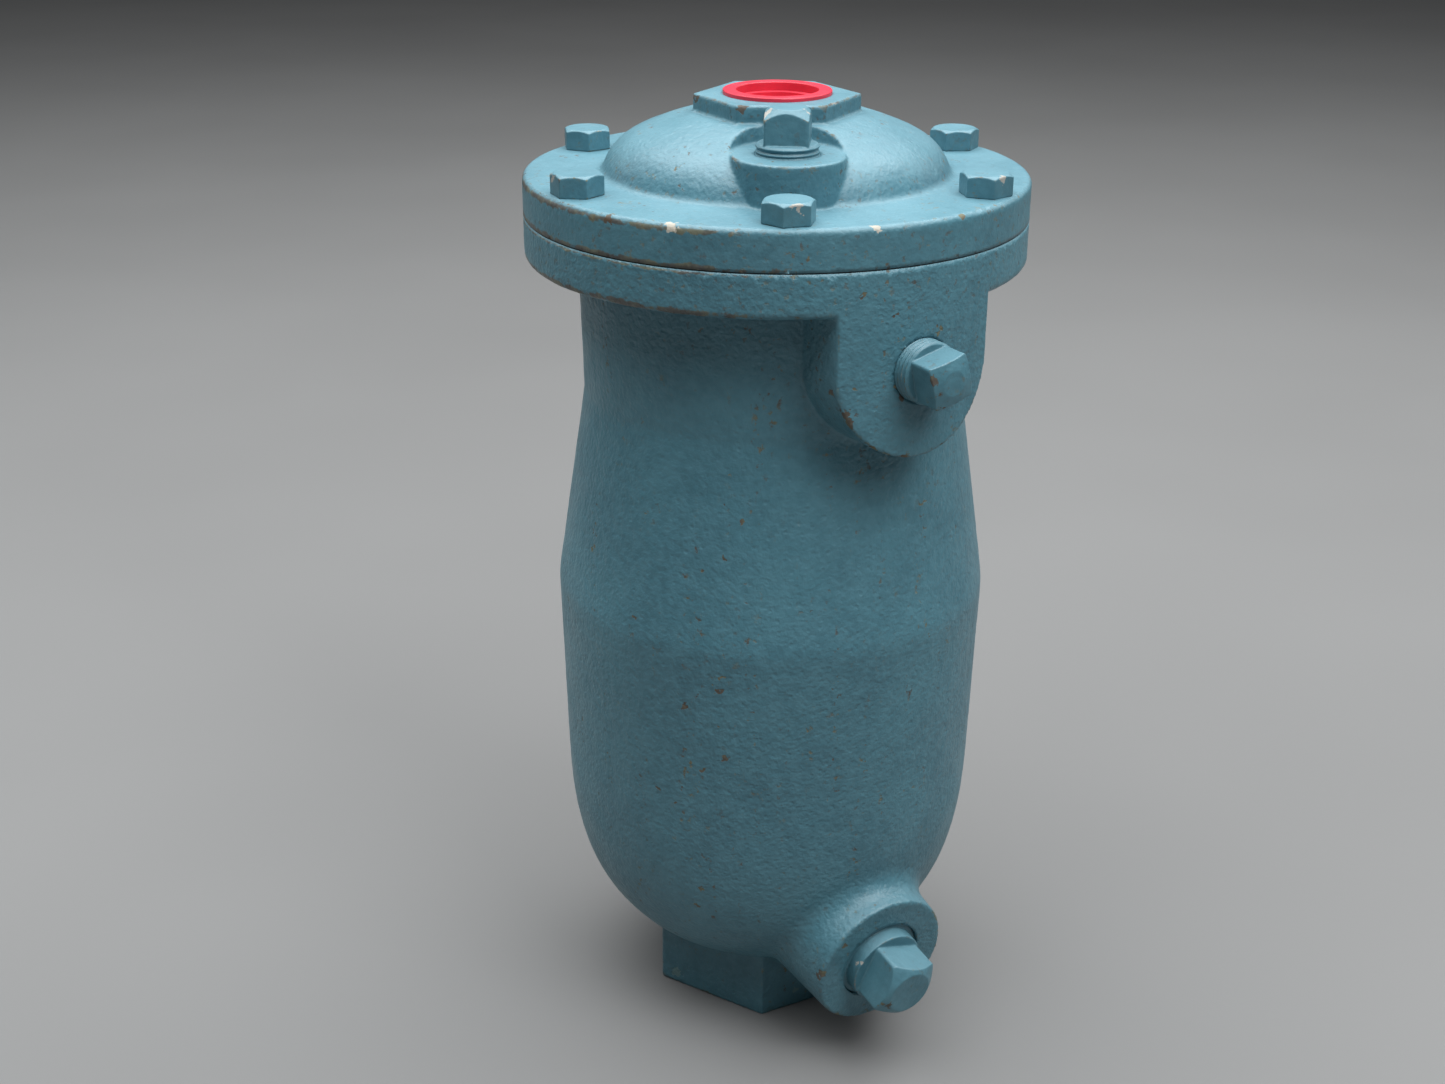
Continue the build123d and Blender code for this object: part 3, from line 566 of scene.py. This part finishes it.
def machined_cover(places, normals):
    """Where the cover is left rough: outside, but not at the seam, the plug's bore or the outlet."""
    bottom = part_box("cover_casting")[0][2]
    square_off(places, bottom, COVER_VOXEL)
    rough = np.minimum(fade(places[:, 2] - bottom, 0.6 * MM, 3 * MM), fade(normals[:, 2], -0.6, -0.3))
    rough = np.minimum(rough, 0.3 + 0.7 * fade(OUTLET_FACE_HEIGHT - places[:, 2], 0, 2.5 * MM))
    open_mouth(places, COVER_PORT, UPRIGHT, HALF_INCH_BORE, places[:, 2] - COVER_PORT[2])
    return np.minimum(rough, bore_fade(places, COVER_PORT, UPRIGHT, HALF_INCH_BORE))


def finish_piece(obj, material, reach, body, node):
    """Marks a piece's edges, gives it its material, and puts it in its CAD node's place."""
    mark_edges(obj, reach)
    obj.data.materials.clear()
    obj.data.materials.append(material)
    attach(obj, body)
    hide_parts(node)


body = cast_copy(
    "body_casting",
    "cast_body",
    BODY_VOXEL,
    rounds=2,
    keep=0.36,
    machined=machined_body,
    relief=((0.16 * MM, 3.0 * MM), (0.25 * MM, 14 * MM)),
)
finish_piece(body, CASTING, 2.8 * MM, "valve_body", "body_casting")
cover = cast_copy(
    "cover_casting",
    "cast_cover",
    COVER_VOXEL,
    rounds=2,
    keep=0.6,
    machined=machined_cover,
    relief=((0.10 * MM, 3.0 * MM), (0.18 * MM, 14 * MM)),
)
finish_piece(cover, COVER, 2.8 * MM, "valve_body", "cover_casting")
bolts = cast_copy("cover_bolts", "hexagon_bolts", 0.32 * MM, rounds=1, keep=0.5)
finish_piece(bolts, FASTENER, 1.1 * MM, "valve_body", "cover_bolts")
for node, rider, voxel in (
    ("cover_port_plug", "cover_plug", 0.3 * MM),
    ("flush_port_plug", "flush_plug", 0.3 * MM),
    ("drain_plug", "drain_plug_body", 0.4 * MM),
):
    plug = cast_copy(node, f"cast_{node}", voxel, rounds=2, keep=0.7, relief=((0.12 * MM, 3 * MM),))
    finish_piece(plug, FASTENER, 1.3 * MM, rider, node)

# ---------------------------------------------------------------- CAD nodes that keep their shape
KEPT = {
    "cover_gasket": SHEET,
    "outlet_thread_protector": RED,
    "valve_button_disc": BLACK_RUBBER,
    "float_upper_half": SPUN,
    "float_lower_half": SPUN,
}
REPLACED = {
    "body_casting",
    "cover_casting",
    "cover_bolts",
    "cover_port_plug",
    "flush_port_plug",
    "drain_plug",
}
for node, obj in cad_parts.items():
    if node in REPLACED:
        continue
    material = KEPT.get(node, STAINLESS)
    if not obj.data.materials:
        obj.data.materials.append(material)
    for index in range(len(obj.data.materials)):
        obj.data.materials[index] = material


# ---------------------------------------------------------------- floor, light and camera
def floor_paint():
    """Plain pale matt paint."""
    material, tree, surface = shader("pale_floor")
    g = Graph(tree)
    shade = g.ramp(g.noise(1.3, 3), 0.3, 0.7)
    colour = g.mix(shade, (0.175, 0.175, 0.174, 1), (0.195, 0.195, 0.194, 1))
    tree.links.new(colour, surface.inputs["Base Color"])
    surface.inputs["Roughness"].default_value = 0.8
    return material


def lay_floor(half):
    """A square floor of the given half width, which the object stands on."""
    corners = [(-half, -half, 0), (half, -half, 0), (half, half, 0), (-half, half, 0)]
    mesh = bpy.data.meshes.new("floor")
    mesh.from_pydata(corners, [], [(0, 1, 2, 3)])
    mesh.materials.append(floor_paint())
    floor = bpy.data.objects.new("floor", mesh)
    bpy.context.scene.collection.objects.link(floor)


def surround(strength):
    """An even, dim studio surround."""
    world = bpy.data.worlds.new("studio")
    world.use_nodes = True
    background = world.node_tree.nodes["Background"]
    background.inputs["Color"].default_value = (0.90, 0.93, 0.96, 1)
    background.inputs["Strength"].default_value = strength
    bpy.context.scene.world = world


def lamp(name, place, target, size, power, tint):
    """A square soft light that points at a target."""
    data = bpy.data.lights.new(name, "AREA")
    data.shape = "SQUARE"
    data.size = size
    data.energy = power
    data.color = tint
    obj = bpy.data.objects.new(name, data)
    obj.location = place
    aim = Vector(target) - Vector(place)
    obj.rotation_euler = aim.to_track_quat("-Z", "Y").to_euler()
    bpy.context.scene.collection.objects.link(obj)


def set_camera(place, yaw, pitch, roll, lens):
    """A camera turned right by yaw from +Y, up by pitch, and rolled, in degrees."""
    yaw, pitch, roll = math.radians(yaw), math.radians(pitch), math.radians(roll)
    data = bpy.data.cameras.new("camera")
    data.sensor_width = 36.0
    data.lens = lens
    data.clip_start = 0.01
    data.clip_end = 60.0
    camera = bpy.data.objects.new("camera", data)
    forward = Vector((math.sin(yaw) * math.cos(pitch), math.cos(yaw) * math.cos(pitch), math.sin(pitch)))
    right = Vector((math.cos(yaw), -math.sin(yaw), 0))
    up = right.cross(forward)
    tilted_right = right * math.cos(roll) + up * math.sin(roll)
    tilted_up = up * math.cos(roll) - right * math.sin(roll)
    axes = Matrix((tilted_right, tilted_up, -forward)).transposed()
    camera.matrix_world = Matrix.Translation(place) @ axes.to_4x4()
    bpy.context.scene.collection.objects.link(camera)
    bpy.context.scene.camera = camera


MIDDLE = (0, 0, 0.2)
UPPER_BODY = (0, 0, 0.3)
lay_floor(12)
surround(0.08)
lamp("overhead", (0, 0.15, 1.65), (0, 0.15, 0), 2.4, 82, (0.97, 0.99, 1.0))
lamp("front", (0.9, -1.0, 1.6), MIDDLE, 1.0, 13, (0.98, 0.99, 1.0))
lamp("right", (1.25, 0.65, 0.95), UPPER_BODY, 0.8, 3, (1.0, 0.99, 0.97))
lamp("left", (-1.25, 0.85, 0.95), UPPER_BODY, 0.8, 2.5, (0.97, 0.99, 1.0))
set_camera((-0.03481, -0.66422, 0.46513), 1.4345, -23.0092, 0.2928, 47.336)
bpy.context.scene.view_settings.view_transform = "Standard"
